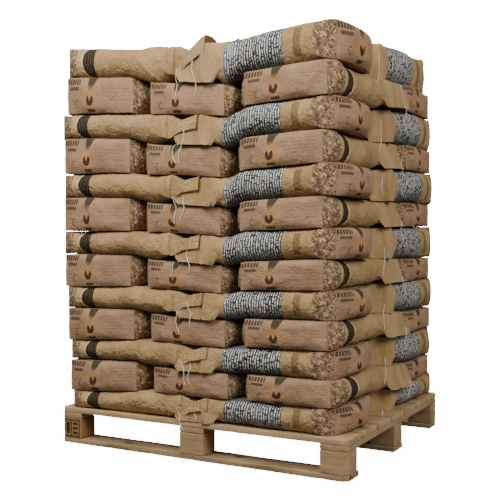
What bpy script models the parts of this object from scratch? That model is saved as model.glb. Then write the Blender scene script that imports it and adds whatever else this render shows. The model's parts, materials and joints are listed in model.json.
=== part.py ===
"""A pallet of filled paper sacks: a nine-block wooden pallet that carries cross-laid layers of sacks.

Metres, +Z up. The origin is on the floor under the middle of the pallet, +X runs along the pallet's
longer side and -Y is its front. Every layer holds two sacks lengthwise along one long side and a row
of sacks crosswise behind them, and each layer is turned half round on the one below.
"""

import math

import bmesh
import bpy
from mathutils import Matrix

# Pallet
PALLET_LENGTH = 1.200
PALLET_DEPTH = 1.000
BOARD_THICKNESS = 0.020
BLOCK_HEIGHT = 0.078
BLOCK_LENGTH = 0.100
BLOCK_DEPTH = 0.085
BOTTOM_BOARD_DEPTH = 0.100
DECK_BOARDS = 7
DECK_GAP = 0.015
CORNER_CUT = 0.018
CONTACT_GAP = 0.0003

# Sacks
LAYERS = 13
LAYER_PITCH = 0.1048
SETTLING = 0.0021
CROSSWISE_SACKS = 3
CROSSWISE_SIZE = (0.594, 0.380)
LENGTHWISE_SIZE = (0.568, 0.400)
SIDE_ROUNDING = 0.034
SIDE_SEGMENTS = 3
CLOSURE_LENGTH = 0.090
CLOSURE_SHARE = 0.45
SQUEEZE = 0.004

# Worked out from the sizes above
DECK_TOP = 3 * BOARD_THICKNESS + BLOCK_HEIGHT
SACK_HEIGHT = LAYER_PITCH - CONTACT_GAP
LOAD_DEPTH = CROSSWISE_SIZE[0] + LENGTHWISE_SIZE[1] - SQUEEZE


def collection(name):
    made = bpy.data.collections.new(name)
    bpy.context.scene.collection.children.link(made)
    return made


def finish(name, colour, roughness):
    """A plain Principled material."""
    material = bpy.data.materials.new(name)
    material.use_nodes = True
    shader = material.node_tree.nodes["Principled BSDF"]
    shader.inputs["Base Color"].default_value = (*colour, 1)
    shader.inputs["Roughness"].default_value = roughness
    return material


def add_object(name, mesh, home, material=None):
    made = bpy.data.objects.new(name, mesh)
    home.objects.link(made)
    if material:
        mesh.materials.append(material)
    return made


def mesh_of(name, shape):
    mesh = bpy.data.meshes.new(name)
    shape.to_mesh(mesh)
    shape.free()
    return mesh


def on_pallet_corner(point):
    across = abs(abs(point.x) - PALLET_LENGTH / 2)
    along = abs(abs(point.y) - PALLET_DEPTH / 2)
    return max(across, along) < 1e-5


def timber(name, size, centre, material):
    """A sawn board or block, a contact gap short of what lies on it. A corner of the pallet is cut off it."""
    length, depth, height = size
    x, y, z = centre
    shape = bmesh.new()
    bmesh.ops.create_grid(shape, x_segments=1, y_segments=1, size=0.5)
    bmesh.ops.scale(shape, vec=(length, depth, 1), verts=shape.verts)
    bmesh.ops.translate(shape, vec=(x, y, z - height / 2), verts=shape.verts)
    corners = [v for v in shape.verts if on_pallet_corner(v.co)]
    if corners:
        bmesh.ops.bevel(shape, geom=corners, offset=CORNER_CUT, segments=1, affect="VERTICES")
    raised = bmesh.ops.extrude_face_region(shape, geom=shape.faces[:])["geom"]
    top = [v for v in raised if isinstance(v, bmesh.types.BMVert)]
    bmesh.ops.translate(shape, vec=(0, 0, height - CONTACT_GAP), verts=top)
    bmesh.ops.recalc_face_normals(shape, faces=shape.faces)
    add_object(name, mesh_of(name, shape), pallet, material)


def build_pallet():
    across = {"left": -1, "middle": 0, "right": 1}
    along = {"front": -1, "middle": 0, "back": 1}
    column = (PALLET_LENGTH - BLOCK_LENGTH) / 2
    block_row = (PALLET_DEPTH - BLOCK_DEPTH) / 2
    board_row = (PALLET_DEPTH - BOTTOM_BOARD_DEPTH) / 2
    bottom_size = (PALLET_LENGTH, BOTTOM_BOARD_DEPTH, BOARD_THICKNESS)
    block_size = (BLOCK_LENGTH, BLOCK_DEPTH, BLOCK_HEIGHT)
    stringer_size = (BLOCK_LENGTH, PALLET_DEPTH, BOARD_THICKNESS)
    bottom_z = BOARD_THICKNESS / 2
    block_z = BOARD_THICKNESS + BLOCK_HEIGHT / 2
    stringer_z = BOARD_THICKNESS + BLOCK_HEIGHT + BOARD_THICKNESS / 2
    deck_z = stringer_z + BOARD_THICKNESS

    for row, side in along.items():
        timber(f"bottom_board_{row}", bottom_size, (0, side * board_row, bottom_z), bottom_wood)
        for place, end in across.items():
            centre = (end * column, side * block_row, block_z)
            timber(f"block_{row}_{place}", block_size, centre, block_wood)
    for place, end in across.items():
        timber(f"stringer_board_{place}", stringer_size, (end * column, 0, stringer_z), stringer_wood)

    pitch = (PALLET_DEPTH + DECK_GAP) / DECK_BOARDS
    deck_size = (PALLET_LENGTH, pitch - DECK_GAP, BOARD_THICKNESS)
    for number in range(DECK_BOARDS):
        y = (number + 0.5) * pitch - (PALLET_DEPTH + DECK_GAP) / 2
        timber(f"deck_board_{number + 1}", deck_size, (0, y, deck_z), deck_wood)


def sack(name, size):
    """One filled sack lying flat: square block bottom at -X, long sides rounded, sewn end thinner at +X."""
    length, width = size
    shape = bmesh.new()
    bmesh.ops.create_cube(shape, size=1)
    bmesh.ops.scale(shape, vec=(length, width, SACK_HEIGHT), verts=shape.verts)
    sides = [edge for edge in shape.edges if abs(edge.verts[0].co.x - edge.verts[1].co.x) > length / 2]
    bmesh.ops.bevel(shape, geom=sides, offset=SIDE_ROUNDING, segments=SIDE_SEGMENTS, profile=0.5, affect="EDGES")
    everything = shape.verts[:] + shape.edges[:] + shape.faces[:]
    start = (length / 2 - CLOSURE_LENGTH, 0, 0)
    bmesh.ops.bisect_plane(shape, geom=everything, plane_co=start, plane_no=(1, 0, 0))
    sewn_end = [v for v in shape.verts if v.co.x > length / 2 - CLOSURE_LENGTH / 2]
    bmesh.ops.scale(shape, vec=(1, 1, CLOSURE_SHARE), verts=sewn_end)
    return add_object(name, mesh_of(name, shape), moulds)


def place(piece, x, y, turn):
    piece.location = (x, y, 0)
    piece.rotation_euler.z = math.radians(turn)
    piece.hide_render = True
    piece.display_type = "WIRE"


def layer_mesh():
    """The five sacks of one layer pressed into one solid, with grooves where their rounded sides meet."""
    length, width = LENGTHWISE_SIZE
    from_middle = (length - SQUEEZE) / 2
    front_row = (width - LOAD_DEPTH) / 2
    left = sack("lengthwise_sack_left", LENGTHWISE_SIZE)
    place(left, -from_middle, front_row, 0)
    right = sack("lengthwise_sack_right", LENGTHWISE_SIZE)
    place(right, from_middle, front_row, 180)
    presses = [right]

    length, width = CROSSWISE_SIZE
    pitch = width - SQUEEZE
    for number in range(CROSSWISE_SACKS):
        crosswise = sack(f"crosswise_sack_{number + 1}", CROSSWISE_SIZE)
        place(crosswise, (number - (CROSSWISE_SACKS - 1) / 2) * pitch, (LOAD_DEPTH - length) / 2, -90)
        presses.append(crosswise)

    for other in presses:
        union = left.modifiers.new("union", "BOOLEAN")
        union.operation = "UNION"
        union.object = other
    bpy.context.view_layer.update()
    graph = bpy.context.evaluated_depsgraph_get()
    mesh = bpy.data.meshes.new_from_object(left.evaluated_get(graph))
    mesh.transform(left.matrix_world)
    mesh.name = "sack_layer"
    mesh.materials.clear()
    mesh.materials.append(kraft_paper)
    return mesh


def build_load():
    """The layers, every second one turned half round. The load above settles each one thinner than the next."""
    mould = layer_mesh()
    bottom = DECK_TOP
    for number in range(LAYERS):
        pitch = LAYER_PITCH + SETTLING * (number - (LAYERS - 1) / 2)
        share = pitch / LAYER_PITCH
        mesh = mould.copy()
        mesh.transform(Matrix.Scale(share, 4, (0, 0, 1)))
        layer = add_object(f"sack_layer_{number + 1:02d}", mesh, pallet)
        layer.location.z = bottom + share * SACK_HEIGHT / 2
        layer.rotation_euler.z = math.pi * (number % 2)
        bottom += pitch


for old in list(bpy.data.objects):
    bpy.data.objects.remove(old)
pallet = collection("pallet_of_sacks")
moulds = collection("sack_moulds")
kraft_paper = finish("kraft paper", (0.42, 0.30, 0.17), 0.8)
deck_wood = finish("deck softwood", (0.50, 0.34, 0.19), 0.75)
stringer_wood = finish("stringer softwood", (0.44, 0.30, 0.17), 0.75)
block_wood = finish("block softwood", (0.48, 0.32, 0.17), 0.75)
bottom_wood = finish("bottom softwood", (0.45, 0.32, 0.19), 0.8)
build_pallet()
build_load()
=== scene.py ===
"""The looks of a pallet of filled paper sacks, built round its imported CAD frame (metres, +Z up)."""
import json
import math

import bmesh
import bpy
import numpy as np
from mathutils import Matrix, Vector
from mathutils.bvhtree import BVHTree

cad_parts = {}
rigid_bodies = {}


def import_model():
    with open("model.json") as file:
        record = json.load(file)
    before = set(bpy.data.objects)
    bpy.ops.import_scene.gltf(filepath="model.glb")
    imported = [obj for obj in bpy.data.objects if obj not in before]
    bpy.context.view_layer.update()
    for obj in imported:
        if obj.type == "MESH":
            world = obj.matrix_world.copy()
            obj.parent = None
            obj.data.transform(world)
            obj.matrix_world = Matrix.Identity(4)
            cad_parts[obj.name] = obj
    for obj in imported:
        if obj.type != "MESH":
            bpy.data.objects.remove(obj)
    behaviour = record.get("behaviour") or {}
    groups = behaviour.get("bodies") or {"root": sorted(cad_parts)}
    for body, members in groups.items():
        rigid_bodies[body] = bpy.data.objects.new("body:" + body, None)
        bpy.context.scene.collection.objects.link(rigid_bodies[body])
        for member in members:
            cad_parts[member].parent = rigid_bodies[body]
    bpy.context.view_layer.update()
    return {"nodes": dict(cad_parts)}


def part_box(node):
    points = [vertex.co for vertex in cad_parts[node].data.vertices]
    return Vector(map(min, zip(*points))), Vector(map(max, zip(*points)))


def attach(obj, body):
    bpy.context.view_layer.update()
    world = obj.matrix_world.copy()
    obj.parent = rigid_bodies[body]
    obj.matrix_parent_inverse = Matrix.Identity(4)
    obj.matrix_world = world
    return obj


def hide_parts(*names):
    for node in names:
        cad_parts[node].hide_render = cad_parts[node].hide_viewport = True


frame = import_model()

# ------------------------------------------------
# Camera. A long lens at chest height, a few metres from the pallet's front right corner.
# ------------------------------------------------
CAMERA_TURN = math.radians(28.65)
CAMERA_PITCH = math.radians(0.78)
CAMERA_DISTANCE = 3.497
CAMERA_AIM_HEIGHT = 0.745
CAMERA_AIM_SIDE = -0.029
CAMERA_LENS_MM = 61.9


def placed(name, data):
    """A new object in the scene for this camera, mesh, curve or light."""
    made = bpy.data.objects.new(name, data)
    bpy.context.scene.collection.objects.link(made)
    return made


aside = Vector((math.cos(CAMERA_TURN), math.sin(CAMERA_TURN), 0))
back = Vector((math.sin(CAMERA_TURN) * math.cos(CAMERA_PITCH),
               -math.cos(CAMERA_TURN) * math.cos(CAMERA_PITCH), math.sin(CAMERA_PITCH)))
aim = Vector((0, 0, CAMERA_AIM_HEIGHT)) + CAMERA_AIM_SIDE * aside
camera = placed("camera", bpy.data.cameras.new("camera"))
camera.data.lens = CAMERA_LENS_MM
camera.location = aim + CAMERA_DISTANCE * back
camera.rotation_euler = back.to_track_quat("Z", "Y").to_euler()
bpy.context.scene.camera = camera

# ------------------------------------------------
# Pallet timber. Boards and blocks of sawn spruce, nailed together: sharp edges softened by
# handling, faces left rough from the saw, the upright corners of the pallet cut off.
# ------------------------------------------------
ARRIS = 0.0022
SAW_WAVE = 0.0005
CHIP = 0.004
TIMBER_CELL = 0.024
STAMP_FACE = -0.4965
STAMP_LEFT, STAMP_RIGHT = -0.584, -0.508
STAMP_LOW, STAMP_HIGH = 0.025, 0.092
STAMP_LINE = 0.005

lattice = np.random.default_rng(11).uniform(-1, 1, (256, 256))


def drift(x, y, seed=0):
    """Smooth noise from -1 to 1 whose bumps are about one unit across."""
    x, y = np.asarray(x, float) + 37.7 * seed, np.asarray(y, float) + 19.3 * seed
    i, j = np.floor(x).astype(int), np.floor(y).astype(int)
    u, v = x - i, y - j
    u, v = u * u * (3 - 2 * u), v * v * (3 - 2 * v)
    low = lattice[i % 256, j % 256] * (1 - u) + lattice[(i + 1) % 256, j % 256] * u
    high = lattice[i % 256, (j + 1) % 256] * (1 - u) + lattice[(i + 1) % 256, (j + 1) % 256] * u
    return low * (1 - v) + high * v


def linear(hex_colour):
    """An sRGB hex colour as linear RGBA."""
    parts = [int(hex_colour[i:i + 2], 16) / 255 for i in (1, 3, 5)]
    return (*[c / 12.92 if c < 0.04045 else ((c + 0.055) / 1.055) ** 2.4 for c in parts], 1)


def fill(tree, node, *inputs, **named):
    """Gives a node's sockets in use, in order, and others by name, their values or links.

    A node given as a value links by its first output in use.
    """
    pairs = list(zip([socket for socket in node.inputs if socket.enabled], inputs))
    pairs += [(node.inputs[name.replace("_", " ")], value) for name, value in named.items()]
    for socket, value in pairs:
        if isinstance(value, bpy.types.Node):
            value = next(output for output in value.outputs if output.enabled)
        if isinstance(value, bpy.types.NodeSocket):
            tree.links.new(value, socket)
        else:
            socket.default_value = value


def add_node(tree, kind, *inputs, stops=(), **settings):
    """Adds a node with its settings, and fills its sockets: a setting with a capital is a socket's name.

    The stops are a ramp's places and colours.
    """
    made = tree.nodes.new(kind)
    for name, value in settings.items():
        if name.islower():
            setattr(made, name, value)
    for number, (place, colour) in enumerate(stops):
        if number > 1:
            made.color_ramp.elements.new(place)
        made.color_ramp.elements[number].position = place
        made.color_ramp.elements[number].color = linear(colour)
    fill(tree, made, *inputs, **{name: value for name, value in settings.items() if name[0].isupper()})
    return made


def maths(tree, operation, *inputs):
    """A node that does one step of arithmetic."""
    return add_node(tree, "ShaderNodeMath", *inputs, operation=operation)


def new_material(name):
    material = bpy.data.materials.new(name)
    material.use_nodes = True
    return material, material.node_tree, material.node_tree.nodes["Principled BSDF"]


def ink(tree, picture, colour, amount, *masks):
    """The picture with a colour or another picture over it, this strong, where every mask is 1."""
    colour = linear(colour) if isinstance(colour, str) else colour
    for mask in masks:
        amount = maths(tree, "MULTIPLY", mask, amount)
    return add_node(tree, "ShaderNodeMix", amount, picture, colour, data_type="RGBA").outputs[2]


def window(tree, value, low, high, soft=0.0006):
    """1 where the value lies between low and high, with a printed edge's slight softness."""
    rise = add_node(tree, "ShaderNodeMapRange", value, low - soft, low + soft)
    fall = add_node(tree, "ShaderNodeMapRange", value, high - soft, high + soft, 1.0, 0.0)
    return maths(tree, "MULTIPLY", rise, fall)


def softwood(name, light, dark, stain, stain_amount):
    """Sawn spruce: growth rings cut lengthways give soft bands, with a few knots and the grey of use.

    The grain attribute holds metres along, across and through the board, moved on for every piece.
    """
    material, tree, shader = new_material(name)
    grain = add_node(tree, "ShaderNodeAttribute", attribute_name="grain").outputs["Vector"]
    slow = add_node(tree, "ShaderNodeVectorMath", grain, (3, 14, 14), operation="MULTIPLY")
    bend = add_node(tree, "ShaderNodeTexNoise", slow, Scale=1.0, Detail=2.0).outputs["Color"]
    bent = add_node(tree, "ShaderNodeVectorMath", bend, (0, 0.02, 0.02), grain, operation="MULTIPLY_ADD")
    # Rings are about 4 mm apart and run the length of the board.
    fine = add_node(tree, "ShaderNodeVectorMath", bent, (3, 150, 150), operation="MULTIPLY")
    rings = add_node(tree, "ShaderNodeTexNoise", fine, Scale=1.0, Detail=3.0, Roughness=0.65)
    # Knots are 15 to 25 mm across, a hand's width or two apart.
    spread = add_node(tree, "ShaderNodeVectorMath", bent, (5.5, 10, 10), operation="MULTIPLY")
    knots = add_node(tree, "ShaderNodeTexVoronoi", spread, Scale=1.0)
    core = add_node(tree, "ShaderNodeMapRange", knots, 0.07, 0.14, 0.8, 0.0)
    halo = add_node(tree, "ShaderNodeMapRange", knots, 0.12, 0.30, 0.4, 0.0)
    wood = add_node(tree, "ShaderNodeValToRGB", rings, stops=((0.30, dark), (0.50, light), (0.8, light)))
    patch = add_node(tree, "ShaderNodeVectorMath", grain, (5, 18, 18), operation="MULTIPLY")
    patches = add_node(tree, "ShaderNodeTexNoise", patch, Scale=1.0, Detail=6.0, Roughness=0.6)
    stained = add_node(tree, "ShaderNodeMapRange", patches, 0.42, 0.70, 0.0, stain_amount)
    for mask, colour in ((stained, stain), (halo, dark), (core, "#4f3420")):
        wood = ink(tree, wood, colour, 1.0, mask)
    rough = add_node(tree, "ShaderNodeMapRange", rings, 0.0, 1.0, 0.65, 0.9)
    # The saw leaves fine marks across the board, about 2 mm apart.
    cross = add_node(tree, "ShaderNodeVectorMath", grain, (420, 40, 40), operation="MULTIPLY")
    saw = add_node(tree, "ShaderNodeTexNoise", cross, Scale=1.0, Detail=2.0)
    relief = maths(tree, "MULTIPLY_ADD", saw, 0.35, rings)
    bump = add_node(tree, "ShaderNodeBump", Height=relief, Strength=0.6, Distance=0.0015)
    fill(tree, shader, Base_Color=wood, Roughness=rough, Normal=bump, Specular_IOR_Level=0.3)
    return material


def timber(node, along, material, seed):
    """A board or block over its CAD node: the same outline, with softened arrises and a sawn surface."""
    shape = bmesh.new()
    shape.from_mesh(frame["nodes"][node].data)
    bmesh.ops.remove_doubles(shape, verts=shape.verts, dist=1e-5)
    bmesh.ops.dissolve_limit(shape, angle_limit=0.02, verts=shape.verts, edges=shape.edges)
    low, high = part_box(node)
    size = high - low
    arrises = [e for e in shape.edges if len(e.link_faces) == 2 and e.calc_face_angle() > 0.5]
    bmesh.ops.bevel(shape, geom=arrises, offset=ARRIS, segments=2, profile=0.6, affect="EDGES")
    for axis in range(3):
        cuts = int(size[axis] / TIMBER_CELL)
        for cut in range(1, cuts):
            place = low.copy()
            place[axis] += size[axis] * cut / cuts
            direction = Vector([float(axis == i) for i in range(3)])
            everything = shape.verts[:] + shape.edges[:] + shape.faces[:]
            bmesh.ops.bisect_plane(shape, geom=everything, plane_co=place, plane_no=direction)
    shape.normal_update()
    for v in shape.verts:
        p = v.co
        wave = drift(p[along] * 9, (p[along - 1] + p[along - 2]) * 25, seed) * SAW_WAVE
        chip = max(0.0, float(drift(p.x * 30 + p.z * 17, p.y * 30 + p.z * 29, seed + 3)) - 0.62) * CHIP
        v.co = p + v.normal * (float(wave) - SAW_WAVE - chip)
    mesh = bpy.data.meshes.new(node + "_sawn")
    shape.to_mesh(mesh)
    shape.free()
    mesh.shade_smooth()
    mesh.set_sharp_from_angle(angle=math.radians(50))
    order = [along] + [axis for axis in range(3) if axis != along]
    grain = mesh.attributes.new("grain", "FLOAT_VECTOR", "POINT")
    shift = np.random.default_rng(seed).uniform(-5, 5, 3)
    points = np.array([v.co for v in mesh.vertices])[:, order] + shift
    grain.data.foreach_set("vector", points.ravel().astype(np.float32))
    mesh.materials.append(material)
    piece = placed(node + "_sawn", mesh)
    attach(piece, "root")
    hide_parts(node)


bottom_spruce = softwood("weathered spruce", "#b39873", "#8a6e50", "#5f4d3a", 0.8)
block_spruce = softwood("sawn spruce blocks", "#bb9c74", "#967654", "#7c6247", 0.5)
stringer_spruce = softwood("sawn spruce stringers", "#b39771", "#8f7250", "#745a40", 0.5)
deck_spruce = softwood("sawn spruce deck", "#c4a87f", "#a0835a", "#7f6446", 0.5)


def burn(material, marks):
    """A stamp burned into the front face of a block: marks are (left, right, low, high) in metres."""
    tree = material.node_tree
    colour = tree.nodes["Principled BSDF"].inputs["Base Color"]
    wood = colour.links[0].from_socket
    place = add_node(tree, "ShaderNodeSeparateXYZ", add_node(tree, "ShaderNodeTexCoord").outputs["Object"])
    front = maths(tree, "LESS_THAN", place.outputs["Y"], STAMP_FACE)
    for left, right, low, high in marks:
        wood = ink(tree, wood, "#24150c", 0.9, front, window(tree, place.outputs["X"], left, right),
                   window(tree, place.outputs["Z"], low, high))
    tree.links.new(wood, colour)


# A plain square frame with a divider and short bars, where such a block has its treatment stamp.
marked_spruce = softwood("sawn spruce block with a burned frame", "#ac8555", "#876339", "#6b4e30", 0.6)
burn(marked_spruce, (
    (STAMP_LEFT, STAMP_RIGHT, STAMP_HIGH - STAMP_LINE, STAMP_HIGH),
    (STAMP_LEFT, STAMP_RIGHT, STAMP_LOW, STAMP_LOW + STAMP_LINE),
    (STAMP_LEFT, STAMP_LEFT + STAMP_LINE, STAMP_LOW, STAMP_HIGH),
    (STAMP_RIGHT - STAMP_LINE, STAMP_RIGHT, STAMP_LOW, STAMP_HIGH),
    (-0.551, -0.546, 0.030, 0.087), (-0.574, -0.556, 0.036, 0.081),
    (-0.541, -0.518, 0.071, 0.081), (-0.541, -0.518, 0.053, 0.063), (-0.541, -0.518, 0.036, 0.046)))
for number, row in enumerate(("front", "middle", "back")):
    timber(f"bottom_board_{row}", 0, bottom_spruce, 20 + number)
    for column, place in enumerate(("left", "middle", "right")):
        wood = marked_spruce if (row, place) == ("front", "left") else block_spruce
        timber(f"block_{row}_{place}", 0, wood, 30 + 3 * number + column)
for number, place in enumerate(("left", "middle", "right")):
    timber(f"stringer_board_{place}", 1, stringer_spruce, 40 + number)
for number in range(7):
    timber(f"deck_board_{number + 1}", 0, deck_spruce, 50 + number)

# ------------------------------------------------
# Sacks. Kraft paper tubes folded into a flat block bottom at one end and sewn shut at the other,
# filled with wood pellets and pressed by the layers above; friction alone holds each layer.
# ------------------------------------------------
DECK_TOP = 0.138
LAYERS = 13
# The layers are this far apart on average, and each is thinner than the one above it by the second.
PITCH = 0.1048
SETTLING = 0.0021
LAYER_SAG, TOP_SAG = 0.0042, 0.034
TOP_CROWN = 0.016
WHOLE_LAYER = 0.105
PANEL_HALF = 0.157
SIDE_DEPTH = 0.046
SQUARE_RUN = 0.068
CLOSING_RUN = 0.075
TUCK, SWELL = 0.009, 0.006
SIDE_MIDDLE = 0.45
GAP = 0.0006


def smooth(t):
    t = np.clip(t, 0.0, 1.0)
    return t * t * (3.0 - 2.0 * t)


def interface(number, x, y):
    """Height of the surface that layer number and the next one have pressed between them.

    The sewn ends hold little, so the pile sags over them, more at every layer. Its left end has
    settled unevenly. The back of the pile is like the front seen from behind.
    """
    level = DECK_TOP + number * PITCH + SETTLING * number * (number - LAYERS) / 2
    if number == 0:
        return level + 0 * x
    settled = 0
    for side in (-1, 1):
        across = -side * x
        sag = np.interp(across, [-0.28, -0.17, 0.13, 0.21, 0.50], [0, 0.42, 1, 0.3, 0])
        end = np.interp(across, [-0.57, -0.26], [1, 0])
        swap = np.interp(across, [-0.57, -0.26, -0.17], [0.0105, 0.007, 0]) * (1 if number % 2 == 0 else -1)
        if number == LAYERS:
            places = [-0.45, -0.20, 0.0, 0.11, 0.21, 0.32, 0.46]
            sag = np.interp(across, places, [0, 0.45, 0.95, 1, 0.8, 0.35, 0])
        sink = (LAYER_SAG * number if number < LAYERS else TOP_SAG) * sag
        front = smooth((0.25 + side * y) / 0.5)
        settled = settled + front * ((0.0037 * number - 0.0225) * end - side * swap - sink)
    crown = TOP_CROWN if number == LAYERS else 0
    uneven = 0.002 * drift(x * 6, y * 6, number) + 0.0012 * drift(x * 17, y * 17, number)
    return level + settled + crown + uneven


class Sack:
    """One sack as a grid of points: stations from its bottom to its sewn end, by points round the tube.

    Its bottom is at (x, y) and it runs towards turn. It is twice half wide, and narrower by taper and
    pinch towards the sewn end. It is folded at fold, sewn at seam, and its tape goes on for fin. At
    those three places top is the closed end's height, as a share of the layer's, and hang is how far
    its outer edge hangs. Early says how far the tube has closed at the fold, and flare how far the
    edge stands out. The patch bows and bulges. Detail is fine cells on the left and right sides,
    badge the side of the print, and curl how far the end's outer corner lifts.
    """

    def __init__(self, layer, x, y, turn, seed, seam, fold, fin, top, hang, early, bow, bulge, detail, outer,
                 half=0.195, taper=0.0, flare=0.010, pinch=0.0, curl=0.0, badge=1.0):
        self.layer, self.x, self.y, self.seed = layer, x, y, seed
        turn = math.radians(turn)
        self.along = np.array((math.cos(turn), math.sin(turn)))
        self.left = np.array((-math.sin(turn), math.cos(turn)))
        self.half, self.taper, self.seam, self.fold, self.fin = half, taper, seam, fold, fin
        self.stops, self.top, self.hang = [fold, seam, seam + fin], top, hang
        self.early, self.flare, self.pinch, self.curl = early, flare, pinch, curl
        self.bow, self.bulge, self.badge, self.outer = bow, bulge, badge, outer
        is_top = layer == LAYERS
        sides = [(22 if is_top else 18) if fine else 6 for fine in detail]
        flat = 26 if is_top else 6
        step = 0.0075 if max(detail) or is_top else 0.03
        # Round the tube: over the top from left to right, down the right side, back under, up the left.
        flats = np.linspace(1, -1, flat + 1)
        right = np.linspace(0, 1, sides[1] + 1)[1:]
        under = np.linspace(-1, 1, 7)[1:]
        up = np.linspace(1, 0, sides[0] + 1)[1:-1]
        self.f = np.concatenate((flats, -np.ones(len(right)), under, np.ones(len(up))))
        self.t = np.concatenate((0 * flats, right, np.ones(len(under)), up))
        self.g = np.concatenate((0.075 + 0.15 * (1 - flats), 0.375 + 0.15 * right,
                                 0.525 + 0.15 * (1 + under), 0.825 + 0.15 * (1 - up), [0.975]))
        self.s = np.unique(np.round(np.concatenate((
            [0, 0.002, 0.005, 0.009, 0.014, 0.020, 0.028], np.arange(0.036, fold - 0.008, step),
            fold + np.array([-0.008, -0.004, -0.001, 0.002, 0.006, 0.012]),
            np.arange(fold + 0.018, seam, step), seam + np.linspace(0, fin, 5))), 5))

    def place(self, s, w, share):
        """World point for a distance along, a distance to the left, and a share of the height."""
        x = self.x + s * self.along[0] + w * self.left[0]
        y = self.y + s * self.along[1] + w * self.left[1]
        low = interface(self.layer - 1, x, y) + GAP
        high = interface(self.layer, x, y) - GAP
        return x, y, low, high, low + share * (high - low)

    def tube(self):
        s, f = np.meshgrid(self.s, self.f, indexing="ij")
        t = np.broadcast_to(self.t, s.shape)
        g = np.broadcast_to(self.g[:-1], s.shape)
        sign = np.sign(f)
        # The square bottom widens to the full tube, and its crisp edges round off on the way.
        grow = 1 - (1 - np.clip(s / SQUARE_RUN, 0, 1)) ** 2
        reach = (PANEL_HALF + (self.half - PANEL_HALF) * grow - self.taper * smooth((s - 0.22) / 0.26)
                 - self.pinch * smooth((s - self.fold + 0.03) / (self.seam + 0.01 - self.fold)))
        crisp = 1 - smooth(s / 0.10)
        ease = self.fold - CLOSING_RUN
        shutting = np.clip((s - self.fold) / (self.seam - self.fold), 0, 1)
        close = np.where(s < self.fold, self.early * smooth((s - ease) / CLOSING_RUN),
                         self.early + (1 - self.early) * shutting)
        depth = SIDE_DEPTH
        share = depth / (2 * depth + 0.1)
        corners = [0, share, 1 - share, 1]
        side = crisp * np.interp(t, corners, [0, depth, depth, 0]) + (1 - crisp) * depth * np.sin(np.pi * t)
        level = crisp * np.interp(t, corners, [1, 1, 0, 0]) + (1 - crisp) * (1 + np.cos(np.pi * t)) / 2
        # The sewn end is pressed flat: its top ply, an edge that hangs down each side, and back inside.
        knots = [0, 0.15, 0.22, 0.60, 0.66, 0.90, 1]
        spread = [0, depth - 0.006, depth, depth + self.flare, depth + self.flare - 0.003, depth - 0.006, 0]
        # Past the seam the tape's last millimetres close on themselves.
        shut = smooth((s - self.seam - self.fin * 0.74) / (self.fin * 0.26))
        fold_back = t + shut * (np.interp(t, [0, 0.63, 1], [0, 0.63, 0]) - t)
        end_side = np.interp(fold_back, knots, spread)
        # The folded plies tuck in behind the fold, and the tube swells a little in front of it.
        tuck = TUCK * smooth((s - self.fold) / 0.003) * (1 - close)
        swell = SWELL * smooth((s - self.fold + 0.05) / 0.05) * (s < self.fold)
        # The outer edge hangs down as soon as the tube starts to close; the plies behind it follow.
        edge = np.where(t <= 0.66, 1 - (1 - close) ** 3, close)
        w = f * (reach - depth) + sign * ((1 - edge) * side + edge * end_side)
        w = w + sign * np.sin(np.pi * t) * (swell - tuck)
        bent = s + self.bow * (w / 0.19) ** 2 * (1 - smooth(s / 0.22))
        x, y, low, high, z = self.place(bent, w, level)
        # The hanging edge's length is given for a whole layer, and is less where the pile has settled.
        hang = np.interp(s, self.stops, self.hang) * (high - low) / WHOLE_LAYER
        drop = np.interp(fold_back, knots, [0, 0.0005, 0.003, 1, 1.01, 0.2, 0.0035])
        drop = np.where(fold_back < 0.63, drop * hang, np.interp(fold_back, [0.60, 0.66, 0.90, 1],
                        [0, 0, 0.006, 0.0035]) + np.interp(fold_back, [0.6, 0.66, 0.9], [1, 1, 0]) * hang)
        end_z = low + np.interp(s, self.stops, self.top) * (high - low) - drop
        z = (1 - edge) * z + edge * end_z
        lift = smooth((s - self.seam + 0.03) / (self.fin + 0.03)) * smooth((self.outer * w - 0.03) / 0.13)
        z = z + self.curl * lift
        points = np.stack((x, y, z), axis=-1)
        return self.crumple(points, s, t, g, low, high, close)

    def crumple(self, points, s, t, g, low, high, close):
        """Moves the free paper in and out: slack lumps, sharp folds and the bumps of the pellets."""
        around = np.roll(points, -1, axis=1) - np.roll(points, 1, axis=1)
        along = np.gradient(points, axis=0)
        normal = np.cross(around, along)
        size = np.linalg.norm(normal, axis=-1, keepdims=True)
        normal = normal / np.maximum(size, 1e-12)
        middle = points.mean(axis=1, keepdims=True)
        outward = np.sign((normal * (points - middle)).sum(axis=-1, keepdims=True).mean())
        normal = normal * outward
        free = np.sin(np.pi * np.clip(t, 0, 1)) ** 0.5
        if self.layer == LAYERS:
            free = np.maximum(free, (t == 0) * 1.0)
        lumps = 0.0040 * drift(s * 9, g * 10, self.seed) + 0.0016 * drift(s * 26, g * 26, self.seed + 1)
        slack = 0.35 + 0.65 * smooth((s - 0.25) / 0.25)
        warp = 0.6 * drift(s * 7, g * 7, self.seed + 2)
        ridge = 1 - np.abs(drift(s * 13 + g * 9 + warp, g * 12 - s * 6 + warp, self.seed + 4))
        folds = 0.0065 * (np.clip(ridge, 0, 1) ** 8 - 0.12) * slack
        ridge = 1 - np.abs(drift(s * 30 - g * 17, g * 22 + s * 14 + warp, self.seed + 5))
        folds = folds + 0.0034 * (np.clip(ridge, 0, 1) ** 7 - 0.12) * slack
        pebbles = 0.0007 * drift(s * 95, g * 95, self.seed + 6)
        start = smooth(s / 0.03)
        amount = (lumps + folds) * start + pebbles
        points = points + normal * (amount * free * (1 - 0.75 * close))[..., None]
        if self.layer < LAYERS:
            points[..., 2] = np.clip(points[..., 2], low, high)
        else:
            points[..., 2] = np.maximum(points[..., 2], low)
        return points

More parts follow.
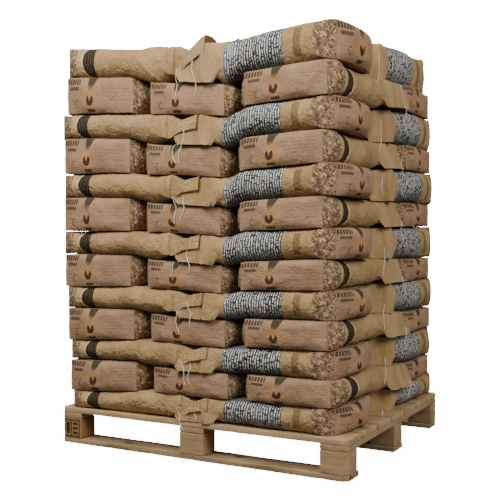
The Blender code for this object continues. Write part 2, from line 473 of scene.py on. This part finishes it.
    def panel(self):
        """The glued patch that closes the block bottom, with its places across and up as shares."""
        across, up = np.linspace(1, -1, 31), np.linspace(0, 1, 13)
        u, v = np.meshgrid(across, up, indexing="ij")
        w = u * PANEL_HALF
        dome = (1 - u ** 4) * (1 - (2 * v - 1) ** 4) * (0.75 + 0.25 * (1 - u ** 2))
        folds = np.clip(1 - np.abs(drift(u * 3 + v, v * 2.2 - u, self.seed + 7)), 0, 1) ** 8
        dent = 0.0035 * drift(u * 2.4, v * 1.6, self.seed + 8) + 0.0040 * folds
        s = self.bow * (w / 0.19) ** 2 - self.bulge * dome - dent * (1 - u ** 8) * (1 - (2 * v - 1) ** 8)
        x, y, low, high, z = self.place(s, w, v)
        return np.stack((x, y, z), axis=-1), (1 - across) / 2, up


UNCOATED = {"Roughness": 0.78, "Specular_IOR_Level": 0.28}
SEAM_STAND = 0.0012
seam_lines = []


def sack_layer(number, sacks, node):
    """Joins the sacks of one layer into one mesh with its laid-flat coordinates as UVs."""
    points, faces, uvs, slots, batch, badge = [], [], [], [], [], []
    for sack in sacks:
        tube = sack.tube()
        # The seam runs across the middle of the sewn end and a little way down each hanging edge.
        side = np.append(sack.left, 0)
        rise = np.array((0, 0, 1)) * (sack.t == 0)[:, None] + side * (np.sign(sack.f) * (sack.t > 0))[:, None]
        third = len(sack.t) // 3
        line = np.roll(tube[-3] + SEAM_STAND * rise, third, axis=0)
        seam_lines.append(line[np.roll(sack.t, third) < 0.6])
        # The tube closes on itself, so it has one more place round it than points. The patch's grid
        # runs the other way, so its corners are taken in reverse to face out.
        for slot, (grid, s, g) in enumerate(((tube, sack.s, sack.g), sack.panel())):
            rows, ring = grid.shape[:2]
            i, j = np.meshgrid(np.arange(rows - 1), np.arange(len(g) - 1), indexing="ij")
            k = (j + 1) % ring
            quads = [i * ring + j, i * ring + k, (i + 1) * ring + k, (i + 1) * ring + j]
            flat = [(s[i], g[j]), (s[i], g[j + 1]), (s[i + 1], g[j + 1]), (s[i + 1], g[j])]
            order = (0, 3, 2, 1) if slot else (0, 1, 2, 3)
            faces.append(np.stack([quads[c] for c in order], axis=-1).reshape(-1, 4) + sum(map(len, points)))
            uvs.append(np.stack([np.stack(flat[c], -1) for c in order], axis=2).reshape(-1, 2))
            slots.append(np.full(i.size, slot))
            points.append(grid.reshape(-1, 3))
            batch.append(np.full(rows * ring, (sack.seed * 0.618) % 1.0))
            badge.append(np.full(rows * ring, sack.badge))
    mesh = bpy.data.meshes.new(node)
    mesh.from_pydata(np.concatenate(points), [], np.concatenate(faces).tolist())
    layer = mesh.uv_layers.new(name="laid_flat")
    layer.data.foreach_set("uv", np.concatenate(uvs).ravel().astype(np.float32))
    mesh.polygons.foreach_set("material_index", np.concatenate(slots).astype(np.int32))
    for name, values in (("batch", batch), ("badge", badge)):
        made = mesh.attributes.new(name, "FLOAT", "POINT")
        made.data.foreach_set("value", np.concatenate(values).astype(np.float32))
    mesh.shade_smooth()
    mesh.set_sharp_from_angle(angle=math.radians(48))
    mesh.materials.append(sack_paper)
    mesh.materials.append(panel_paper)
    mesh.update()
    piece = placed(node, mesh)
    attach(piece, "root")
    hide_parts(f"sack_layer_{number:02d}")


def pellet_print(tree, place):
    """A printed heap of wood pellets: blunt rods 6 mm thick and 22 mm long at most, lying every way."""
    picture = linear("#5f4b37")
    for number, turn in enumerate((15, 100, 145, 70, 122, 38)):
        rods = add_node(tree, "ShaderNodeMapping", place, (3.1 * number, 1.7 * number, 0),
                        (0, 0, math.radians(turn)), (0.0215, 0.0058, 1), vector_type="TEXTURE")
        cells = add_node(tree, "ShaderNodeTexVoronoi", rods, voronoi_dimensions="2D", distance="CHEBYCHEV",
                         Randomness=0.55, Scale=1.0)
        tone = add_node(tree, "ShaderNodeSeparateXYZ", cells.outputs["Color"])
        paint = add_node(tree, "ShaderNodeValToRGB", tone,
                         stops=((0.0, "#7d6145"), (0.4, "#a88966"), (0.75, "#c2a27d"), (1.0, "#dcc4a2")))
        shade = add_node(tree, "ShaderNodeMapRange", cells, 0.20, 0.40, 1.0, 0.30)
        paint = add_node(tree, "ShaderNodeMix", 1.0, paint, shade, data_type="RGBA",
                         blend_type="MULTIPLY").outputs[2]
        there = maths(tree, "LESS_THAN", cells, 0.41)
        kept = maths(tree, "GREATER_THAN", tone.outputs["Y"], 0.55)
        picture = ink(tree, picture, paint, 1.0, there, kept)
    return picture


def crumpled(tree, place, depth):
    """Relief of strong paper over pellets: soft bumps 9 mm apart, fine wrinkles and random creases."""
    pebbles = add_node(tree, "ShaderNodeTexVoronoi", place, feature="SMOOTH_F1", Scale=105.0, Smoothness=0.5)
    wander = add_node(tree, "ShaderNodeTexNoise", place, Scale=14.0, Detail=3.0).outputs["Color"]
    bent = add_node(tree, "ShaderNodeVectorMath", wander, (0.06, 0.06, 0.06), place, operation="MULTIPLY_ADD")
    creases = add_node(tree, "ShaderNodeTexVoronoi", bent, feature="DISTANCE_TO_EDGE", Scale=22.0)
    creases = add_node(tree, "ShaderNodeMapRange", creases, 0.0, 0.22, 0.0, 1.0)
    wrinkles = add_node(tree, "ShaderNodeTexNoise", bent, Scale=70.0, Detail=4.0, Roughness=0.6)
    relief = maths(tree, "MULTIPLY_ADD", creases, 0.55, wrinkles)
    relief = maths(tree, "MULTIPLY_ADD", pebbles, -0.8, relief)
    return add_node(tree, "ShaderNodeBump", Height=relief, Strength=0.75, Distance=depth)


def kraft(tree, place, light, dark):
    """Unbleached pulp: cloudy at the scale of a hand, with short darker fibres 1 to 3 mm long."""
    cloud = add_node(tree, "ShaderNodeTexNoise", place, Scale=12.0, Detail=5.0, Roughness=0.6)
    paper = add_node(tree, "ShaderNodeValToRGB", cloud, stops=((0.32, dark), (0.66, light)))
    drawn = add_node(tree, "ShaderNodeVectorMath", place, (260, 900, 500), operation="MULTIPLY")
    fibres = add_node(tree, "ShaderNodeTexNoise", drawn, Scale=1.0, Detail=1.0)
    speck = add_node(tree, "ShaderNodeMapRange", fibres, 0.58, 0.75, 0.0, 0.35)
    return ink(tree, paper, dark, 1.0, speck)


def laid_flat(tree, size):
    """The paper's own coordinates, their parts, the batch, and a place in metres unlike any other sack's."""
    laid = add_node(tree, "ShaderNodeUVMap", uv_map="laid_flat")
    batch = add_node(tree, "ShaderNodeAttribute", attribute_name="batch").outputs["Fac"]
    moved = add_node(tree, "ShaderNodeCombineXYZ", 0.0, 0.0, batch)
    metres = add_node(tree, "ShaderNodeVectorMath", laid, size, operation="MULTIPLY")
    place = add_node(tree, "ShaderNodeVectorMath", moved, (9, 9, 9), metres, operation="MULTIPLY_ADD")
    parts = add_node(tree, "ShaderNodeSeparateXYZ", laid)
    return laid, parts.outputs["X"], parts.outputs["Y"], batch, place


def make_sack_paper():
    """Printed kraft paper: matt, with a band of pellet print, a dark block of fine lines and a badge."""
    material, tree, shader = new_material("printed kraft paper")
    laid, s, g, batch, place = laid_flat(tree, (1, 1, 1))
    # Round the tube: nought along the middle of the left side, 0.45 along the middle of the right side.
    left = maths(tree, "WRAP", g, SIDE_MIDDLE, -SIDE_MIDDLE)
    right = maths(tree, "SUBTRACT", g, SIDE_MIDDLE)
    picture = kraft(tree, place, "#b99c70", "#9f8156")

    # A cream strip runs down the right side next to the pellets.
    off_right = maths(tree, "ABSOLUTE", right)
    on_right = maths(tree, "LESS_THAN", off_right, 0.085)
    picture = ink(tree, picture, "#cfae76", 0.5, window(tree, s, 0.060, 0.088), on_right)

    # The badge is a dark half oval with pale lines along it; its curved edge has a pale outline.
    badge = add_node(tree, "ShaderNodeAttribute", attribute_name="badge").outputs["Fac"]
    towards = maths(tree, "SUBTRACT", s, 0.1235)
    towards = maths(tree, "MULTIPLY_ADD", towards, badge, -0.0285)
    cut = maths(tree, "LESS_THAN", towards, 0.0)
    for length, height, colour in ((0.064, 0.082, "#d6ba8a"), (0.054, 0.070, "#2a1f13")):
        flat = maths(tree, "MULTIPLY", towards, 1 / length)
        tall = maths(tree, "MULTIPLY", right, 1 / height)
        reach = add_node(tree, "ShaderNodeCombineXYZ", flat, tall)
        radius = add_node(tree, "ShaderNodeVectorMath", reach, operation="LENGTH").outputs["Value"]
        inside = maths(tree, "LESS_THAN", radius, 1.0)
        picture = ink(tree, picture, colour, 1.0, inside, cut)
    sway = add_node(tree, "ShaderNodeTexNoise", place, Scale=30.0, Detail=1.0)
    lines = maths(tree, "MULTIPLY_ADD", sway, 0.02, s)
    lines = maths(tree, "WRAP", lines, 0.0, 0.011)
    picture = ink(tree, picture, "#94826a", 0.35, window(tree, lines, 0.002, 0.0045), inside, cut)

    # The dark block on the left side: columns 10 mm apart of pale strokes, thinning downwards.
    tone = add_node(tree, "ShaderNodeTexNoise", place, Scale=16.0, Detail=2.0)
    ground = add_node(tree, "ShaderNodeValToRGB", tone, stops=((0.40, "#1c1e21"), (0.62, "#4b5763")))
    wave = add_node(tree, "ShaderNodeTexNoise", place, Scale=45.0, Detail=1.0)
    column = maths(tree, "MULTIPLY_ADD", wave, 0.009, s)
    column = maths(tree, "MULTIPLY", column, 1 / 0.0098)
    across = maths(tree, "FRACT", column)
    which = maths(tree, "FLOOR", column)
    dashes = add_node(tree, "ShaderNodeCombineXYZ", which, g, batch)
    dashes = add_node(tree, "ShaderNodeVectorMath", dashes, (5.3, 190, 9), operation="MULTIPLY")
    dashes = add_node(tree, "ShaderNodeTexNoise", dashes, Scale=1.0, Detail=1.0)
    dashes = add_node(tree, "ShaderNodeMapRange", dashes, 0.38, 0.50)
    fade = add_node(tree, "ShaderNodeMapRange", left, -0.055, -0.01, 0.25, 1.0)
    top = add_node(tree, "ShaderNodeMapRange", left, 0.048, 0.056, 1.0, 0.1)
    printed = ink(tree, ground, "#e2ddd2", 1.0, window(tree, across, 0.26, 0.70, 0.10), dashes, fade, top)
    picture = ink(tree, picture, printed, 1.0, window(tree, s, 0.200, 0.427, 0.001),
                  window(tree, left, -0.12, 0.105, 0.001))

    # Fine dark bars of uneven width beside it, with no number.
    bars = add_node(tree, "ShaderNodeVectorMath", laid, (560, 0, 0), operation="MULTIPLY")
    bars = add_node(tree, "ShaderNodeTexNoise", bars, Scale=1.0, Detail=0.0)
    bars = maths(tree, "GREATER_THAN", bars, 0.48)
    area = (window(tree, s, 0.118, 0.152), window(tree, left, -0.036, 0.040))
    picture = ink(tree, picture, "#80663d", 0.5, *area)
    picture = ink(tree, picture, "#3b2f1e", 0.5, *area, bars)

    band = add_node(tree, "ShaderNodeMapRange", s, 0.0655, 0.0668, 1.0, 0.0)
    picture = ink(tree, picture, pellet_print(tree, place), 1.0, band)
    fill(tree, shader, Base_Color=picture, Normal=crumpled(tree, place, 0.0040), **UNCOATED)
    return material


def make_panel_paper():
    """The glued bottom patch: pinkish kraft, printed with plain bars, rules and simple shapes."""
    material, tree, shader = new_material("bottom patch kraft paper")
    patch = (2 * PANEL_HALF, WHOLE_LAYER, 0)
    laid, u, v, _, place = laid_flat(tree, patch)
    picture = kraft(tree, place, "#af8f71", "#9a7a5d")

    def away(x, y, size):
        """The way from a point of the patch, and how long it is."""
        off = add_node(tree, "ShaderNodeVectorMath", laid, (x, y, 0), operation="SUBTRACT")
        off = add_node(tree, "ShaderNodeVectorMath", off, size, operation="MULTIPLY")
        length = add_node(tree, "ShaderNodeVectorMath", off, operation="LENGTH").outputs["Value"]
        return add_node(tree, "ShaderNodeSeparateXYZ", off), length

    def box(left, right, low, high, along=u):
        return window(tree, along, left, right, 0.004), window(tree, v, low, high, 0.010)

    # A soft orange glow lies behind the round mark.
    near = away(0.385, 0.42, (7.0, 2.6, 0))[1]
    glow = add_node(tree, "ShaderNodeMapRange", near, 0.2, 1.1, 0.42, 0.0)
    picture = ink(tree, picture, "#cf8d48", 1.0, glow)

    # A dark green stem narrows downwards from the top edge.
    width = add_node(tree, "ShaderNodeMapRange", v, 0.62, 1.0, 0.022, 0.068)
    centre = add_node(tree, "ShaderNodeMapRange", v, 0.62, 1.0, 0.385, 0.425)
    off = maths(tree, "SUBTRACT", u, centre)
    off = maths(tree, "ABSOLUTE", off)
    stem = maths(tree, "LESS_THAN", off, width)
    fade = add_node(tree, "ShaderNodeMapRange", v, 0.60, 0.80, 0.0, 0.9)
    picture = ink(tree, picture, "#2f2f1b", 1.0, stem, fade)

    # The round mark is a dark disc with a wedge cut out of its top.
    parts, length = away(0.385, 0.36, patch)
    disc = add_node(tree, "ShaderNodeMapRange", length, 0.0160, 0.0170, 1.0, 0.0)
    slant = maths(tree, "ABSOLUTE", parts)
    slant = maths(tree, "MULTIPLY_ADD", slant, -2.2, parts.outputs["Y"])
    wedge = maths(tree, "LESS_THAN", slant, -0.0035)
    picture = ink(tree, picture, "#351d14", 0.92, disc, wedge)

    # An open ring on its left.
    parts, length = away(0.175, 0.26, patch)
    gap = maths(tree, "LESS_THAN", parts, 0.004)
    picture = ink(tree, picture, "#3a2418", 0.85, window(tree, length, 0.0085, 0.0115, 0.0005), gap)

    # Plain slanted bars where a heading would be, a dark box under them and one at the lower edge.
    lean = maths(tree, "MULTIPLY_ADD", v, -0.06, u)
    beat = maths(tree, "WRAP", lean, 0.0, 0.040)
    picture = ink(tree, picture, "#2b2018", 0.85, *box(-0.05, 0.19, 0.79, 0.955, lean),
                  window(tree, beat, 0.007, 0.036))
    picture = ink(tree, picture, "#4a392c", 0.8, *box(0.055, 0.215, 0.63, 0.73))
    picture = ink(tree, picture, "#2a1d15", 0.85, *box(0.345, 0.455, 0.03, 0.115))

    # Faint broken rules on the right and at the lower left.
    broken = add_node(tree, "ShaderNodeVectorMath", laid, (70, 26, 0), operation="MULTIPLY")
    broken = add_node(tree, "ShaderNodeTexNoise", broken, Scale=1.0, Detail=1.0)
    broken = add_node(tree, "ShaderNodeMapRange", broken, 0.46, 0.54)
    row = maths(tree, "WRAP", v, 0.0, 0.105)
    rules = window(tree, row, 0.03, 0.065, 0.008)
    picture = ink(tree, picture, "#6b4f45", 0.5, rules, broken, *box(0.56, 0.95, 0.28, 0.80))
    picture = ink(tree, picture, "#6b4c33", 0.45, rules, broken, *box(0.04, 0.24, 0.02, 0.42))

    # The patch's cut edge is a little darker where glue has soaked in.
    for value, low, high in ((u, 0.006, 0.994), (v, 0.015, 0.985)):
        inner = window(tree, value, low, high, 0.004)
        edge = maths(tree, "SUBTRACT", 1.0, inner)
        picture = ink(tree, picture, "#6f5a44", 0.55, edge)
    fill(tree, shader, Base_Color=picture, Normal=crumpled(tree, place, 0.0020), **UNCOATED)
    return material


sack_paper = make_sack_paper()
panel_paper = make_panel_paper()
# How far each layer reaches to the left of the pile's middle, from the lowest one up, and how far
# the crosswise sack at an odd layer's right end stands out where that isn't 6 mm.
REACH = (0.534, 0.553, 0.544, 0.565, 0.56, 0.58, 0.575, 0.583, 0.575, 0.583, 0.582, 0.567, 0.552)
JUT = {13: -0.026, 9: 0.016}
for number in range(1, LAYERS + 1):
    pick = np.random.default_rng(number)
    wander = lambda amount: pick.uniform(-amount, amount)
    odd, is_top = number % 2 == 1, number == LAYERS
    turned, face = (1, 0) if odd else (-1, 180)
    reach = REACH[number - 1]
    far = 0.556 + wander(0.005)
    left_end, right_end = (reach + 0.052, far) if odd else (far + 0.027, reach)
    row, back, pitch = (0.300, 0.506, 0.388) if odd else (0.320, 0.482, 0.392)
    shift = wander(0.003) if odd else reach - 0.536
    # Two sacks lie lengthwise, sewn ends together: the left one's closes high, the right one's sags.
    sacks = [
        Sack(number, turned * (0.012 - left_end), turned * -row, face, number * 7,
             seam=0.574 + wander(0.006), fold=0.520 + wander(0.006), fin=0.072, top=(1.0, 0.80, 1.0),
             hang=(0.096, 0.042, 0.048), early=0.18, bow=0.004, bulge=0.012, detail=(0, 1),
             curl=0.030 if is_top else 0.0, outer=-1),
        Sack(number, turned * right_end, turned * -row, face + 180, number * 7 + 1,
             seam=0.590 + wander(0.006), fold=0.512 + wander(0.006), fin=0.035, top=(0.98, 0.60, 0.32),
             hang=(0.150, 0.095, 0.016), early=0.50, bow=0.030, bulge=0.026, detail=(1, 0), outer=1)]
    # Three lie crosswise with their bottoms out. The sewn ends that face the row close more tightly.
    for place in (-1, 0, 1):
        inward = odd or place == 0
        long_end = 0.030 if not odd and place == -1 else 0.0
        jut = JUT.get(number, 0.006) if odd and place == 1 else 0
        if inward:
            end = dict(seam=0.560, fold=0.495, fin=0.025, top=(1.0, 0.95, 0.80), hang=(0.150, 0.115, 0.045),
                       flare=-0.004, pinch=0.05)
        else:
            end = dict(seam=0.572 + long_end / 2, fold=0.505, fin=0.045 + long_end, top=(1.0, 1.0, 0.99),
                       hang=(0.160, 0.150, 0.125), flare=0.034 if long_end else 0.001)
        sacks.append(Sack(number, turned * (place * pitch + shift + jut), turned * back, face - 90,
                          number * 7 + 3 + place, half=0.1925, taper=0.030 if odd else 0.0, early=0.40,
                          bow=0.006, bulge=0.013, detail=(place == 1, place == -1), badge=-1.0, outer=place,
                          **end))
    sack_layer(number, sacks, f"sacks_layer_{number:02d}")

# ------------------------------------------------
# Sewing threads. Each sack is sewn shut with a soft twisted cotton thread, whose end is left 50 to
# 130 mm long: it hangs from the corner of the seam over the layers below.
# ------------------------------------------------
THREAD = 0.003
STEPS = 24
# A thread starts no farther than this from the middle, at the load's ends and at its sides.
FARTHEST = (0.588, 0.515)


def make_thread_cotton():
    """Unbleached cotton, three plies twisted together: matt, with ridges about 2 mm apart."""
    material, tree, shader = new_material("twisted cotton thread")
    place = add_node(tree, "ShaderNodeTexCoord").outputs["Object"]
    plies = add_node(tree, "ShaderNodeVectorMath", place, (700, 700, 450), operation="MULTIPLY")
    plies = add_node(tree, "ShaderNodeTexNoise", plies, Scale=1.0, Detail=2.0)
    cotton = add_node(tree, "ShaderNodeValToRGB", plies, stops=((0.3, "#e6d6bd"), (0.6, "#fbf4e6")))
    bump = add_node(tree, "ShaderNodeBump", Height=plies, Strength=0.5, Distance=0.0006)
    fill(tree, shader, Base_Color=cotton, Normal=bump, Roughness=0.85, Subsurface_Weight=0.05)
    return material


cotton = make_thread_cotton()
bpy.context.view_layer.update()
shapes = [piece for piece in bpy.data.objects if piece.name.startswith("sacks_layer_")]
corners, sides = [], []
for piece in shapes:
    start = len(corners)
    corners += [v.co.copy() for v in piece.data.vertices]
    sides += [[start + i for i in face.vertices] for face in piece.data.polygons]
load = BVHTree.FromPolygons(corners, sides)


def hang_thread(name, axis, outward, top, bottom, sway, seed, least=0.45):
    """A thread from a seam corner: top and bottom are (along the face, height) on the face across axis.

    It rests on what juts out, and never lies nearer the middle than least.
    """
    phase = np.random.default_rng(seed).uniform(0, 6.28)
    out = None
    route = []
    for step in range(STEPS + 1):
        part = step / STEPS
        along = top[0] + (bottom[0] - top[0]) * part + sway * math.sin(phase + part * 5.5) * smooth(part * 3)
        height = top[1] + (bottom[1] - top[1]) * part
        origin = Vector((along, outward * 0.9, height)) if axis else Vector((outward * 0.9, along, height))
        line = Vector((0, -outward, 0)) if axis else Vector((-outward, 0, 0))
        hit = load.ray_cast(origin, line)[0]
        surface = max(abs(hit[axis]) if hit else least, least) + THREAD * 0.6
        out = min(surface, FARTHEST[axis]) if out is None else max(surface, out - 0.0006)
        route.append((along, outward * out, height) if axis else (outward * out, along, height))
    curve = bpy.data.curves.new(name, "CURVE")
    curve.dimensions = "3D"
    curve.bevel_depth = THREAD / 2
    curve.bevel_resolution = 3
    curve.use_fill_caps = True
    spline = curve.splines.new("POLY")
    spline.points.add(len(route) - 1)
    for point, place in zip(spline.points, route):
        point.co = (*place, 1)
    curve.materials.append(cotton)
    thread = placed(name, curve)
    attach(thread, "root")


front_threads = (
    ((-0.061, 1.402), (-0.072, 1.292)), ((0.009, 1.423), (0.017, 1.317)),
    ((-0.080, 1.156), (-0.072, 1.063)), ((-0.025, 1.178), (-0.051, 1.062)),
    ((-0.074, 0.941), (-0.064, 0.844)), ((-0.029, 0.940), (-0.042, 0.858)),
    ((-0.068, 0.733), (-0.094, 0.653)), ((-0.015, 0.751), (-0.009, 0.669)),
    ((-0.056, 0.535), (-0.058, 0.445)), ((-0.013, 0.562), (0.000, 0.477)),
    ((-0.043, 0.353), (-0.022, 0.269)), ((-0.005, 0.352), (-0.009, 0.270)),
    ((-0.052, 0.169), (-0.028, 0.089)), ((0.008, 0.175), (0.022, 0.133)))
side_threads = (
    ((-0.138, 1.452), (-0.150, 1.352)), ((0.131, 1.300), (0.140, 1.235)),
    ((-0.116, 1.217), (-0.125, 1.104)), ((0.150, 1.102), (0.140, 0.995)),
    ((-0.110, 1.030), (-0.100, 0.955)), ((0.150, 0.857), (0.126, 0.786)),
    ((-0.081, 0.761), (-0.085, 0.656)), ((0.150, 0.643), (0.145, 0.567)),
    ((-0.080, 0.552), (-0.085, 0.461)), ((0.150, 0.447), (0.145, 0.362)),
    ((-0.068, 0.355), (-0.070, 0.259)), ((0.150, 0.240), (0.155, 0.172)),
    ((-0.090, 0.161), (-0.095, 0.095)))
for number, (top, bottom) in enumerate(front_threads):
    hang_thread(f"thread_front_{number + 1:02d}", 1, -1, top, bottom, 0.006, number)
for number, (top, bottom) in enumerate(side_threads):
    hang_thread(f"thread_right_{number + 1:02d}", 0, 1, top, bottom, 0.007, 40 + number,
                0.550 if number % 2 else 0.570)
# The hidden sides have a few as well, from the same seams turned half round.
for number, layer in enumerate((12, 10, 8, 6, 4, 2)):
    height = DECK_TOP + PITCH * layer + SETTLING * layer * (layer - LAYERS) / 2 - 0.055
    hang_thread(f"thread_back_{number + 1:02d}", 1, 1, (0.02, height), (0.03, height - 0.09), 0.004,
                70 + number)

# ------------------------------------------------
# Stitches. A machine sews every sack shut with one row of 5 mm stitches, 8 mm apart, in the same
# cotton thread as the tails: a Geometry Nodes tree lays them along the seam lines.
# ------------------------------------------------
STITCH = {"Pitch": 0.008, "Stitch length": 0.005, "Thread radius": 0.0007, "Seed": 4}

seam_mesh = bpy.data.meshes.new("seams")
seam_points = np.concatenate(seam_lines)
ends = np.cumsum([len(line) for line in seam_lines])
seam_edges = [(i, i + 1) for i in range(len(seam_points) - 1) if i + 1 not in ends]
seam_mesh.from_pydata(seam_points, seam_edges, [])
stitches = placed("seam_stitches", seam_mesh)

sewing = bpy.data.node_groups.new("stitches along seams", "GeometryNodeTree")
sewing.interface.new_socket("Seams", in_out="INPUT", socket_type="NodeSocketGeometry")
for name in STITCH:
    kind = "NodeSocketInt" if name == "Seed" else "NodeSocketFloat"
    sewing.interface.new_socket(name, in_out="INPUT", socket_type=kind)
sewing.interface.new_socket("Stitches", in_out="OUTPUT", socket_type="NodeSocketGeometry")
given = sewing.nodes.new("NodeGroupInput").outputs
curves = add_node(sewing, "GeometryNodeMeshToCurve", given["Seams"])
spaced = add_node(sewing, "GeometryNodeResampleCurve", curves, mode="LENGTH", Length=given["Pitch"])
one = add_node(sewing, "GeometryNodeMeshCylinder", Vertices=4, Radius=given["Thread radius"],
               Depth=given["Stitch length"])
turn = add_node(sewing, "FunctionNodeAlignRotationToVector", axis="Z",
                Vector=add_node(sewing, "GeometryNodeInputTangent"))
uneven = add_node(sewing, "FunctionNodeRandomValue", 0.85, 1.1, data_type="FLOAT", Seed=given["Seed"])
laid = add_node(sewing, "GeometryNodeInstanceOnPoints", spaced, Instance=one, Rotation=turn, Scale=uneven)
solid = add_node(sewing, "GeometryNodeRealizeInstances", laid)
dressed = add_node(sewing, "GeometryNodeSetMaterial", solid, Material=cotton)
add_node(sewing, "NodeGroupOutput", dressed)
modifier = stitches.modifiers.new("sewing", "NODES")
modifier.node_group = sewing
for item in sewing.interface.items_tree:
    if item.name in STITCH:
        modifier[item.identifier] = STITCH[item.name]
bpy.context.view_layer.update()
sewn = bpy.data.meshes.new_from_object(stitches.evaluated_get(bpy.context.evaluated_depsgraph_get()))
stitches.modifiers.clear()
stitches.data = sewn
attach(stitches, "root")

# ------------------------------------------------
# Studio. Four large soft lights: high at the front left, overhead, at the right and behind. The
# floor and the backdrop are bright white only where the camera looks straight at them.
# ------------------------------------------------
def soft_light(name, place, size, power, aim_at=(0, 0, 0.9)):
    light = bpy.data.lights.new(name, "AREA")
    light.shape = "DISK"
    light.size = size
    light.energy = power
    light.color = (1.0, 0.96, 0.90)
    lamp = placed(name, light)
    lamp.location = place
    lamp.rotation_euler = (Vector(place) - Vector(aim_at)).to_track_quat("Z", "Y").to_euler()


soft_light("window", (-2.0, -3.6, 3.9), 2.4, 94, (0, 0, 1.6))
soft_light("ceiling", (-0.1, -2.3, 3.2), 1.8, 74, (0, 0, 1.6))
soft_light("fill", (4.3, -1.6, 3.2), 2.5, 142, (0, 0, 1.4))
soft_light("back", (-2.4, 4.2, 3.0), 2.5, 150, (0, 0, 0.9))


def seen_white(tree, lit, seen):
    """A strength: seen where the camera looks straight at it, lit for its light on the load."""
    ray = add_node(tree, "ShaderNodeLightPath").outputs["Is Camera Ray"]
    return add_node(tree, "ShaderNodeMapRange", ray, 0.0, 1.0, lit, seen)


FLOOR_REACH = 14
WHITE = linear("#ffffff")
floor_mesh = bpy.data.meshes.new("studio_floor")
square = ((-1, -1), (1, -1), (1, 1), (-1, 1))
floor_mesh.from_pydata([(x * FLOOR_REACH, y * FLOOR_REACH, 0) for x, y in square], [], [(0, 1, 2, 3)])
floor = placed("studio_floor", floor_mesh)
floor_paint, floor_tree, floor_shader = new_material("matt white floor paint")
fill(floor_tree, floor_shader, Base_Color=linear("#4c4b49"), Roughness=0.9, Emission_Color=WHITE,
     Emission_Strength=seen_white(floor_tree, 0.0, 16.0))
floor_mesh.materials.append(floor_paint)
world = bpy.data.worlds.new("studio")
world.use_nodes = True
air = world.node_tree
fill(air, air.nodes["Background"], Color=WHITE, Strength=seen_white(air, 0.25, 30.0))
bpy.context.scene.world = world
